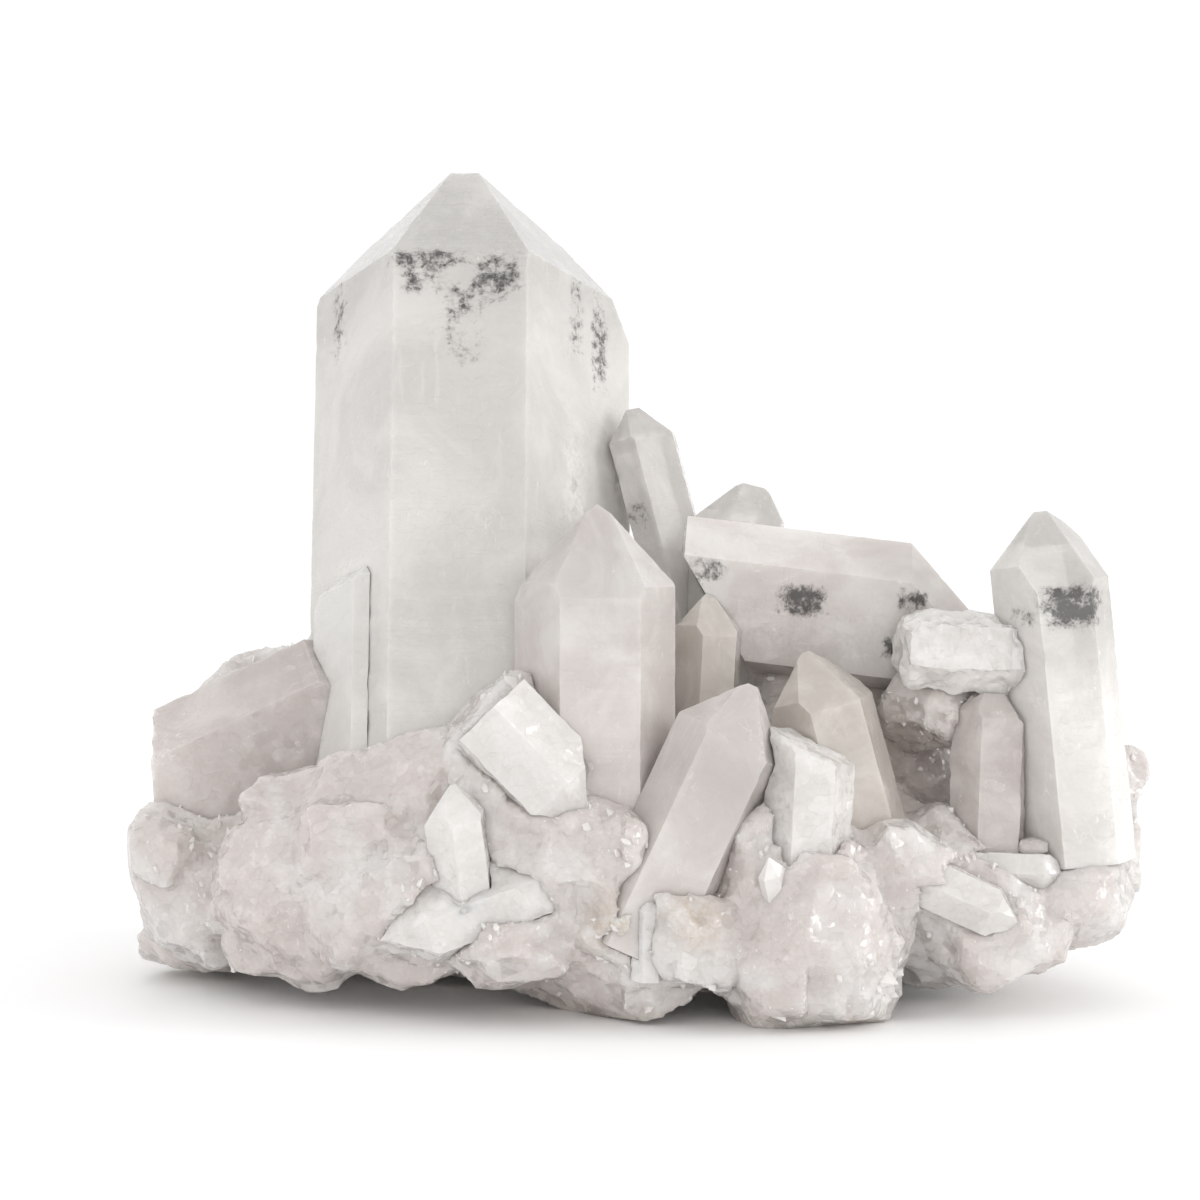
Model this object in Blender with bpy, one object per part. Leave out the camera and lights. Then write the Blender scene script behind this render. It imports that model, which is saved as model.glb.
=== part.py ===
"""A quartz crystal cluster: pointed prisms standing and lying on one massive milky base.

Every crystal is cut the way quartz grows, by six prism faces parallel to its long axis and
six end faces at quartz's own angle to it, so a crystal is described by how far each face
stands from the axis. Lengths in the tables are millimetres, and MM turns them into metres.
"""

import math
import random
from typing import NamedTuple

import bmesh
import bpy
from mathutils import Matrix, Vector

MM = 0.001
GAP = 0.3  # between two pieces that grew against each other
END_FACE_ANGLE = math.radians(51.79)  # between a quartz end face's normal and the long axis
FACE_COUNT = 6
BLANK_SIZE = 420.0  # the block that every crystal and lump is cut from
UP = Vector((0.0, 0.0, 1.0))
DOWN = Vector((0.0, 0.0, -1.0))

MAIN_LEAN = (0.0, 0.309, 0.951)


class Finish(NamedTuple):
    """A surface: its colour, roughness and how much light it lets through."""

    name: str
    colour: tuple
    roughness: float
    clearness: float


CLEAR = Finish("clear_quartz", (0.80, 0.79, 0.78, 1.0), 0.08, 0.35)
MILKY = Finish("milky_quartz", (0.79, 0.76, 0.75, 1.0), 0.30, 0.15)
FROSTED = Finish("frosted_quartz", (0.84, 0.82, 0.81, 1.0), 0.45, 0.05)
SMOKY = Finish("shadowed_quartz", (0.60, 0.58, 0.55, 1.0), 0.20, 0.20)


class Crystal(NamedTuple):
    """One quartz crystal.

    tip is the point where the long axis leaves the crystal, lean the axis from root to tip,
    and turn how far the first prism face has turned from facing forward. faces holds each
    prism face's distance from the axis, going round anticlockwise as seen from the tip, and
    rises how far above the tip each end face would cross the axis. breaks holds flat broken
    surfaces, each a point and the direction that it faces.
    """

    name: str
    finish: Finish
    tip: tuple
    lean: tuple
    turn: float
    faces: tuple
    rises: tuple
    length: float
    breaks: tuple = ()


class Lump(NamedTuple):
    """One broken block of the massive base, about the size of an ellipsoid."""

    centre: tuple
    half: tuple
    tilt: float  # degrees about the front-to-back axis, positive raises the left end
    seed: int
    cuts: int = 22


# Earlier crystals keep their whole shape, and later ones stop where they meet them.
CRYSTALS = (
    Crystal("main_crystal", CLEAR, (-32.3, 32.0, 148.8), MAIN_LEAN, 0,
            (17.9, 19.3, 33.9, 27.7, 29.9, 19.4), (0, 2.6, 14, 0, 15, 3.2), 124),
    Crystal("centre_crystal", MILKY, (-7.6, -18.5, 88.3), (0.0, 0.05, 1.0), 0,
            (12.5, 12.6, 10.8, 12.0, 13.3, 11.8), (0, 2.0, 0.5, 1.0, 0.5, 1.5), 52),
    Crystal("right_crystal", CLEAR, (69.4, -10.0, 86.6), (-0.10, 0.06, 0.98), 0,
            (11.5, 12.0, 7.8, 7.0, 7.4, 7.6), (0.5, 3.0, 5.0, 0, 0, 0.6), 62),
    Crystal("leaning_crystal", MILKY, (62.5, 2.0, 65.2), (0.9925, 0.0, -0.122), 10,
            (8.6, 12.2, 10.0, 12.0, 12.3, 12.0), (0, 0, 0, 0, 0, 0), 56,
            (((10.0, 0.0, 75.0), (-0.86, 0.0, -0.5)),)),
    Crystal("left_crystal", SMOKY, (-38.0, 12.0, 56.0), (0.905, 0.05, 0.42), 6,
            (13.0, 12.5, 12.0, 13.0, 13.5, 14.5), (0, 0, 0, 0, 0, 0), 64,
            (((-88.2, 5.0, 40.0), (-0.995, -0.06, -0.05)),)),
    Crystal("rear_slender_crystal", CLEAR, (-2.3, 24.0, 104.4), (-0.25, 0.15, 0.95), 25,
            (5.0, 7.4, 8.2, 6.0, 4.5, 4.5), (0, 3.0, 4.0, 0, 0, 0), 62),
    Crystal("under_crystal", SMOKY, (28.2, -17.0, 62.5), (-0.26, 0.05, 0.96), 12,
            (8.0, 9.0, 9.0, 7.0, 7.5, 7.0), (0, 1.5, 4.0, 0, 0, 1.0), 44),
    Crystal("front_right_crystal", MILKY, (18.2, -31.0, 58.5), (0.42, 0.05, 0.90), 8,
            (8.0, 10.0, 9.0, 7.0, 7.5, 8.0), (0, 2.0, 3.0, 0, 0, 1.0), 50),
    Crystal("front_stub_crystal", FROSTED, (29.5, -29.5, 58.0), (0.05, 0.06, 1.0), 6,
            (9.0, 7.0, 7.0, 8.0, 8.0, 8.0), (0, 2.0, 3.0, 0, 0, 1.0), 42,
            (((28.0, -30.0, 48.5), (0.42, -0.10, 0.90)),)),
    Crystal("front_block_crystal", FROSTED, (-11.5, -34.5, 38.5), (0.69, -0.10, -0.70), 0,
            (7.0, 7.5, 8.0, 8.0, 8.0, 7.0), (6.0, 6.0, 0, 0, 3.0, 6.0), 21),
    Crystal("cross_crystal", FROSTED, (41.0, -14.0, 63.0), (-0.985, -0.05, 0.05), 15,
            (6.0, 6.5, 6.8, 7.0, 6.5, 6.2), (2.0, 1.0, 2.0, 2.0, 1.0, 2.0), 29,
            (((45.4, -14.0, 63.0), (-0.97, -0.20, 0.10)),)),
    Crystal("shadow_crystal", SMOKY, (12.0, -7.0, 72.5), (0.05, 0.05, 1.0), 20,
            (6.0, 6.0, 6.5, 6.0, 6.0, 5.5), (0, 1.0, 0, 2.0, 0, 1.0), 34),
    Crystal("cavity_crystal", SMOKY, (62.6, -12.0, 56.0), (0.04, 0.08, 0.99), 8,
            (6.5, 6.5, 6.0, 6.0, 6.5, 6.5), (3.0, 2.0, 4.0, 3.0, 3.0, 4.0), 34),
    Crystal("small_rear_crystal", CLEAR, (20.0, 21.0, 90.0), (0.22, 0.1, 0.97), 20,
            (7.0, 8.0, 7.5, 7.0, 8.0, 8.0), (0.6, 5.5, 5.0, 1.0, 2.5, 1.5), 44),
    Crystal("main_side_crystal", CLEAR, (-47.3, 4.2, 80.0), MAIN_LEAN, 0,
            (6.0, 6.0, 6.0, 8.0, 15.7, 6.2), (1.0, 0, 0, 0, 9.0, 0), 50),
    Crystal("small_front_crystal", FROSTED, (-32.5, -38.0, 41.5), (-0.12, -0.08, 0.99), 24,
            (4.6, 4.6, 5.0, 5.0, 4.6, 4.2), (0, 1.0, 2.0, 0, 0, 1.0), 20),
    Crystal("low_front_crystal", CLEAR, (-44.5, -39.0, 15.5), (-0.92, -0.22, -0.30), 5,
            (6.5, 6.0, 6.5, 7.0, 6.5, 6.5), (1.0, 0, 0, 0, 1.0, 0), 30),
    Crystal("right_blade_crystal", FROSTED, (74.0, -24.0, 24.6), (0.99, -0.08, -0.03), 20,
            (3.2, 3.2, 3.0, 3.6, 3.2, 3.0), (0, 1.0, 0, 0, 1.0, 0), 18),
    Crystal("lower_blade_crystal", MILKY, (64.5, -34.0, 17.5), (0.88, -0.20, -0.38), 12,
            (4.0, 4.2, 4.0, 4.5, 4.2, 4.0), (0, 1.0, 0, 1.0, 0, 1.0), 24),
    Crystal("front_chip_crystal", CLEAR, (1.3, -40.0, 24.0), (0.03, -0.05, 1.0), 14,
            (2.4, 2.2, 2.4, 2.6, 2.2, 2.4), (0, 1.0, 0, 0, 1.0, 0), 15),
    Crystal("back_left_crystal", MILKY, (-62.0, 52.0, 62.0), (-0.20, 0.42, 0.88), 15,
            (8.0, 9.0, 8.0, 8.5, 8.0, 8.0), (0, 1.0, 0, 2.0, 0, 1.0), 46),
    Crystal("back_centre_crystal", CLEAR, (2.0, 54.0, 74.0), (0.10, 0.40, 0.91), 0,
            (9.0, 8.0, 9.0, 8.0, 9.0, 8.5), (1.0, 0, 2.0, 0, 1.0, 0), 58),
    Crystal("back_right_crystal", MILKY, (40.0, 44.0, 66.0), (0.16, 0.34, 0.92), 30,
            (7.0, 7.5, 7.0, 8.0, 7.5, 7.0), (0, 1.0, 0, 0, 2.0, 0), 46),
    Crystal("back_small_crystal", CLEAR, (70.0, 34.0, 50.0), (0.34, 0.34, 0.87), 10,
            (5.0, 5.5, 5.0, 5.5, 5.0, 5.0), (0, 0, 1.0, 0, 1.0, 0), 32),
)

LUMPS = (
    Lump((-14, 12, 24), (58, 32, 24), 0, 3, 30),
    Lump((46, 12, 22), (36, 26, 22), 0, 5, 28),
    Lump((52, 21, 38), (26, 15, 23), 0, 8),
    Lump((-66, 26, 18), (25, 20, 20), 0, 12),
    Lump((-66, 22, 44), (22, 12, 16), -22, 13),
    Lump((-46, -16, 26), (34, 16, 19), -24, 14, 26),
    Lump((-75, 0, 18), (16, 14, 15), -8, 17),
    Lump((-76, 20, 13), (15, 20, 14), 0, 16),
    Lump((-58, -12, 20), (20, 16, 15), 0, 18),
    Lump((-20, -20, 36), (21, 16, 22), 0, 20),
    Lump((-4, -24, 18), (26, 17, 15), 6, 23),
    Lump((-40, -22, 20), (22, 19, 13), 0, 26),
    Lump((-12, -28, 26), (20, 14, 14), 0, 27),
    Lump((20, -22, 28), (20, 15, 21), 0, 29),
    Lump((29, -29, 15), (18, 20, 19), 0, 32, 34),
    Lump((56, -14, 19), (20, 17, 14), 0, 35),
    Lump((62, -24, 14), (13, 10, 9), 0, 36),
    Lump((78, -2, 30), (11, 14, 20), 8, 38),
    Lump((-20, 33, 22), (50, 22, 26), 0, 41, 26),
    Lump((36, 32, 20), (36, 19, 23), 0, 44, 26),
    Lump((30, 12, 45), (24, 13, 16), 4, 50),
    Lump((55, -3, 51), (12, 10, 7), 6, 51, 16),
    Lump((-62, -15, 36), (10, 6, 5), -26, 60, 14),
    Lump((-50, -28, 30), (10, 7, 8), -20, 61, 14),
    Lump((-36, -33, 27), (9, 7, 7), 0, 62, 14),
    Lump((-7, -35, 30), (9, 7, 9), 10, 63, 14),
    Lump((9, -38, 15), (10, 8, 8), 0, 64, 16),
    Lump((-22, -35, 14), (12, 8, 7), 4, 65, 16),
    Lump((45, -29, 27), (9, 8, 7), 12, 66, 14),
    Lump((75, -18, 21), (11, 10, 9), 0, 67, 18),
    Lump((84, -6, 25), (6, 8, 8), 0, 68, 14),
    Lump((-84, -6, 26), (7, 8, 7), -10, 69, 14),
    Lump((-40, 51, 30), (15, 9, 12), 0, 70, 16),
    Lump((12, 50, 25), (17, 9, 12), 0, 71, 16),
    Lump((57, 44, 19), (13, 9, 11), 0, 72, 16),
    Lump((-80, 30, 30), (10, 11, 11), 0, 73, 16),
    Lump((-79, 14, 10), (10, 17, 10), 0, 74, 18),
)


def oriented(lean: tuple, turn: float):
    """The axis and the six sideways directions of a crystal that leans and turns so."""
    axis = Vector(lean).normalized()
    tilt = UP.rotation_difference(axis)
    sides = []
    for k in range(FACE_COUNT):
        angle = math.radians(turn - 90.0) + k * math.tau / FACE_COUNT
        sides.append(tilt @ Vector((math.cos(angle), math.sin(angle), 0.0)))
    return axis, sides


def crystal_planes(crystal: Crystal) -> list:
    """Every flat face of the crystal, as a point on it and the direction that it faces."""
    tip = Vector(crystal.tip)
    axis, sides = oriented(crystal.lean, crystal.turn)
    planes = [(tip - axis * crystal.length, -axis)]
    for side, face, rise in zip(sides, crystal.faces, crystal.rises, strict=True):
        end = side * math.sin(END_FACE_ANGLE) + axis * math.cos(END_FACE_ANGLE)
        planes.append((tip + side * face, side))
        planes.append((tip + axis * rise, end))
    for point, facing in crystal.breaks:
        planes.append((Vector(point), Vector(facing).normalized()))
    return planes


def lump_planes(lump: Lump) -> list:
    """Flat fracture faces all round a lump, spread evenly and then shaken."""
    centre = Vector(lump.centre)
    chance = random.Random(lump.seed)
    angle = math.radians(lump.tilt)
    along = Vector((math.cos(angle), 0.0, -math.sin(angle)))
    upward = Vector((math.sin(angle), 0.0, math.cos(angle)))
    planes = []
    for i in range(lump.cuts):
        height = 1.0 - 2.0 * (i + 0.5) / lump.cuts
        around = i * math.pi * (3.0 - math.sqrt(5.0))
        flat = math.sqrt(1.0 - height * height)
        facing = Vector((flat * math.cos(around), flat * math.sin(around), height))
        facing += Vector(chance.uniform(-0.28, 0.28) for _ in range(3))
        facing.normalize()
        reach = math.sqrt(sum((h * f) ** 2 for h, f in zip(lump.half, facing, strict=True)))
        reach *= chance.uniform(0.84, 1.0)
        turned = along * facing.x + Vector((0.0, facing.y, 0.0)) + upward * facing.z
        planes.append((centre + turned * reach, turned))
    return planes


def cut_solid(planes: list, grow: float = 0.0) -> bmesh.types.BMesh:
    """A convex solid bounded by the planes, each moved outward by grow."""
    solid = bmesh.new()
    bmesh.ops.create_cube(solid, size=BLANK_SIZE * MM)
    for point, facing in planes:
        bmesh.ops.bisect_plane(
            solid,
            geom=solid.verts[:] + solid.edges[:] + solid.faces[:],
            plane_co=(point + facing * grow) * MM,
            plane_no=facing,
            clear_outer=True,
        )
        bmesh.ops.holes_fill(solid, edges=solid.edges[:], sides=0)
    bmesh.ops.recalc_face_normals(solid, faces=solid.faces[:])
    return solid


def principled(finish: Finish) -> bpy.types.Material:
    """The finish as a material with one Principled BSDF."""
    material = bpy.data.materials.get(finish.name) or bpy.data.materials.new(finish.name)
    material.use_nodes = True
    shader = material.node_tree.nodes["Principled BSDF"]
    shader.inputs["Base Color"].default_value = finish.colour
    shader.inputs["Roughness"].default_value = finish.roughness
    shader.inputs["Metallic"].default_value = 0.0
    shader.inputs["Transmission Weight"].default_value = finish.clearness
    shader.inputs["IOR"].default_value = 1.544
    material.diffuse_color = finish.colour
    return material


def make_object(name: str, solid: bmesh.types.BMesh, finish: Finish) -> bpy.types.Object:
    """An object in the scene that holds the solid."""
    mesh = bpy.data.meshes.new(name)
    solid.to_mesh(mesh)
    solid.free()
    mesh.materials.append(principled(finish))
    piece = bpy.data.objects.new(name, mesh)
    bpy.context.scene.collection.objects.link(piece)
    return piece


def make_helpers(name: str, solids: list) -> bpy.types.Collection:
    """A collection of solids that are only added to or cut from another piece."""
    helpers = bpy.data.collections.new(name)
    helpers.hide_render = True
    bpy.context.scene.collection.children.link(helpers)
    for index, solid in enumerate(solids):
        mesh = bpy.data.meshes.new(f"{name}_{index}")
        solid.to_mesh(mesh)
        solid.free()
        helper = bpy.data.objects.new(mesh.name, mesh)
        helper.hide_render = True
        helper.display_type = "WIRE"
        helpers.objects.link(helper)
    return helpers


def combine(piece: bpy.types.Object, operation: str, helpers: bpy.types.Collection) -> None:
    """Adds the helpers to the piece or cuts them from it, and keeps the result as its mesh."""
    boolean = piece.modifiers.new(operation.lower(), "BOOLEAN")
    boolean.solver = "EXACT"
    boolean.operation = operation
    boolean.operand_type = "COLLECTION"
    boolean.collection = helpers
    graph = bpy.context.evaluated_depsgraph_get()
    finished = bpy.data.meshes.new_from_object(piece.evaluated_get(graph))
    piece.modifiers.clear()
    piece.data = finished
    for helper in list(helpers.objects):
        bpy.data.objects.remove(helper)
    bpy.data.collections.remove(helpers)


def keep_largest(piece: bpy.types.Object) -> None:
    """Drops the loose crumbs that a cut left beside the piece."""
    solid = bmesh.new()
    solid.from_mesh(piece.data)
    bmesh.ops.remove_doubles(solid, verts=solid.verts[:], dist=0.005 * MM)
    waiting = set(solid.faces)
    islands = []
    while waiting:
        first = waiting.pop()
        island = {first}
        front = [first]
        while front:
            face = front.pop()
            for edge in face.edges:
                for other in edge.link_faces:
                    if other in waiting:
                        waiting.discard(other)
                        island.add(other)
                        front.append(other)
        islands.append(island)
    largest = max(islands, key=lambda island: sum(face.calc_area() for face in island))
    crumbs = [face for face in solid.faces if face not in largest]
    bmesh.ops.delete(solid, geom=crumbs, context="FACES")
    solid.to_mesh(piece.data)
    solid.free()


def make_crystals() -> None:
    """Every crystal, each stopping a gap short of the earlier ones that it meets."""
    for index, crystal in enumerate(CRYSTALS):
        piece = make_object(crystal.name, cut_solid(crystal_planes(crystal)), crystal.finish)
        if index:
            earlier = [cut_solid(crystal_planes(other), GAP) for other in CRYSTALS[:index]]
            combine(piece, "DIFFERENCE", make_helpers("neighbours", earlier))
            keep_largest(piece)


def make_base() -> None:
    """The massive quartz that the crystals stand in, flat where it rests on the floor."""
    base = make_object("quartz_base", cut_solid(lump_planes(LUMPS[0])), MILKY)
    others = [cut_solid(lump_planes(lump)) for lump in LUMPS[1:]]
    combine(base, "UNION", make_helpers("lumps", others))
    floor = bmesh.new()
    bmesh.ops.create_cube(floor, size=BLANK_SIZE * MM)
    bmesh.ops.translate(floor, verts=floor.verts[:], vec=DOWN * BLANK_SIZE / 2 * MM)
    sockets = [cut_solid(crystal_planes(crystal), GAP) for crystal in CRYSTALS]
    combine(base, "DIFFERENCE", make_helpers("sockets", [floor] + sockets))
    keep_largest(base)


def centre_on_floor() -> None:
    """Moves the finished cluster so that the middle of its outline stands over the origin."""
    corners = [vertex.co for mesh in bpy.data.meshes if mesh.users for vertex in mesh.vertices]
    shift = Vector((0.0, 0.0, 0.0))
    for side in range(2):
        places = [corner[side] for corner in corners]
        shift[side] = -(min(places) + max(places)) / 2
    for piece in bpy.context.scene.collection.objects:
        piece.data.transform(Matrix.Translation(shift))


def main() -> None:
    """Clears the scene and builds the cluster."""
    for old in list(bpy.data.objects):
        bpy.data.objects.remove(old)
    for old in list(bpy.data.meshes):
        bpy.data.meshes.remove(old)
    make_crystals()
    make_base()
    centre_on_floor()


main()
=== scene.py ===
"""The looks of a quartz crystal cluster: clear and milky crystals on a mass of broken, milky quartz."""

import itertools
import logging
import math
from dataclasses import dataclass, field
from enum import Enum
from typing import Any

import bmesh
import bpy
import numpy as np
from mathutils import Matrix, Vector, noise
from mathutils.bvhtree import BVHTree
from mathutils.kdtree import KDTree

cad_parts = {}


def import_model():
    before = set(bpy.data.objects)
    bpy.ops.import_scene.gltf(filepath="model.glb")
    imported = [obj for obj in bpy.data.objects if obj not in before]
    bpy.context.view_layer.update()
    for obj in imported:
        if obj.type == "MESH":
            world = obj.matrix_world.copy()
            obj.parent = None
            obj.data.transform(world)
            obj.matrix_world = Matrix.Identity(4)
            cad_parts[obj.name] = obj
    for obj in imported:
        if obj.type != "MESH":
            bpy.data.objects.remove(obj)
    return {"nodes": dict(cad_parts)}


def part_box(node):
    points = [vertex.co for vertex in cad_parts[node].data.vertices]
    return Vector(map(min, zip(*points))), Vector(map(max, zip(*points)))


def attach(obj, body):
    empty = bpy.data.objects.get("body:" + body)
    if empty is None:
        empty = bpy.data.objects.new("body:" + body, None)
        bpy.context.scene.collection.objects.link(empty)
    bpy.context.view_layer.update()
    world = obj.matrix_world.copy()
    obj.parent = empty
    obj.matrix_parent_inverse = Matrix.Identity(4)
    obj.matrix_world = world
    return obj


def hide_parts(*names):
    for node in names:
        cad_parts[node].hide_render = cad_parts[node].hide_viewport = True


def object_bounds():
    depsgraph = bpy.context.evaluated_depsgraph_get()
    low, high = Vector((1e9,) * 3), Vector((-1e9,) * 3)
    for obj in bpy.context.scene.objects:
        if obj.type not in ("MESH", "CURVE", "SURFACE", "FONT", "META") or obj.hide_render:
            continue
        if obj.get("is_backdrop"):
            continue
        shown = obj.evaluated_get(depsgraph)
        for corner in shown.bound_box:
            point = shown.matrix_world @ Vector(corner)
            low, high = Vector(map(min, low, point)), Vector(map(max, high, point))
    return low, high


LOG = logging.getLogger("quartz_cluster")
MM = 0.001
GROWTH = "growth"
DRUSE = "druse"
TOWARD_VIEWER = Vector((0.0, -1.0, 0.0))
SEED = 7
WELD = 0.002 * MM
# Faces that turn by less than this are one flat face of the CAD solid.
FLAT_JOIN_ANGLE = math.radians(0.6)
# Edges that turn by more than these stay crisp, on a crystal and on broken quartz.
CREASE_ANGLE = math.radians(24)
BROKEN_ANGLE = math.radians(17)
# Edges of a crystal that turn by more than this are arrises, which wear.
ARRIS_ANGLE = math.radians(12)
ARRIS_SAMPLE = 0.5 * MM
ARRIS_REACH = 0.9 * MM
BOX_MARGIN = 0.002
COLLAR_REACH = 4.0 * MM
COLLAR_PASSES = 5
# How wide the two sizes of chipped faces are, in millimetres, and how much the second one adds.
CHIP_SIZES = (2.6, 1.1)
CHIP_SHARE = 0.7
# How far an edge falls away before it whitens, and over which range; how white arrises and broken ridges
# turn: partly bruising, partly a painted highlight where edges catch the light.
BRUISE_FROM = 0.08
BRUISE_RANGE = 0.2
ARRIS_FROST_AND_HIGHLIGHT = 0.15
BROKEN_FROST_AND_HIGHLIGHT = 0.4
# The white of etched quartz, also laid on whitened edges as a painted highlight.
FROST_AND_HIGHLIGHT_COLOUR = "#F1EEEB"
CRACK_COLOUR = "#F5F3F1"


class Slot(Enum):
    """The record's material slots."""

    BASE = "milky_base"
    CLEAR = "clear_quartz"
    MILKY = "milky_quartz"
    FROSTED = "frosted_quartz"
    SHADOWED = "shadowed_quartz"


class Mark(Enum):
    """What a mark on a crystal is; the value is the name of the point attribute that holds it."""

    # Dark marks: partly inclusions, partly painted reflections of dark surroundings.
    DARK = "dark"
    # Etched skin, and edges whitened partly as a painted highlight.
    FROST_AND_HIGHLIGHT = "frost_and_highlight"
    # Iron stains, and a painted shade near the floor.
    STAIN_AND_SHADE = "stain_and_floor_shade"
    MILK = "milk"


def linearise(code: str) -> tuple[float, float, float, float]:
    """Turns an sRGB colour into the linear one that shaders use.

    Args:
        code: The colour as "#RRGGBB".

    Returns:
        Red, green, blue and an alpha of one.
    """
    channels = [int(code[place:place + 2], 16) / 255 for place in (1, 3, 5)]
    values = [c / 12.92 if c <= 0.04045 else ((c + 0.055) / 1.055) ** 2.4 for c in channels]
    return (values[0], values[1], values[2], 1.0)


def add(tree: Any, kind: str, settings: dict[str, Any] | None = None,
        inputs: dict[Any, Any] | None = None) -> Any:
    """Adds a node to a tree, with its settings and with what its sockets hold or are linked to.

    Args:
        tree: The node tree.
        kind: The node's type.
        settings: Values for the node's own properties.
        inputs: For each input's name or number, a value or another node's output.

    Returns:
        The new node.
    """
    node = tree.nodes.new(kind)
    for name, value in (settings or {}).items():
        setattr(node, name, value)
    for name, value in (inputs or {}).items():
        if isinstance(value, bpy.types.NodeSocket):
            tree.links.new(value, node.inputs[name])
        else:
            node.inputs[name].default_value = value
    return node


def ramp(tree: Any, value: Any, low: float, high: float, to_low: float = 0.0,
         to_high: float = 1.0) -> Any:
    """Eases a value from one range to another, held at the ends.

    Args:
        tree: The node tree.
        value: The socket that is read.
        low: Where the range that is read starts.
        high: Where it ends.
        to_low: What the start becomes.
        to_high: What the end becomes.

    Returns:
        The socket of the result.
    """
    return add(tree, "ShaderNodeMapRange", {"interpolation_type": "SMOOTHSTEP"},
               {"Value": value, "From Min": low, "From Max": high, "To Min": to_low,
                "To Max": to_high}).outputs[0]


def maths(tree: Any, operation: str, first: Any, second: Any = 0.0, third: Any = 0.0) -> Any:
    """Works out a sum on two or three sockets or numbers, held between none and one only for "ADD"."""
    return add(tree, "ShaderNodeMath", {"operation": operation, "use_clamp": operation == "ADD"},
               {0: first, 1: second, 2: third}).outputs[0]


def tint(tree: Any, factor: Any, first: Any, second: Any) -> Any:
    """Goes from the first colour to the second by the factor and returns the colour's socket."""
    return add(tree, "ShaderNodeMix", {"data_type": "RGBA"},
               {"Factor": factor, 6: first, 7: second}).outputs[2]


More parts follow.
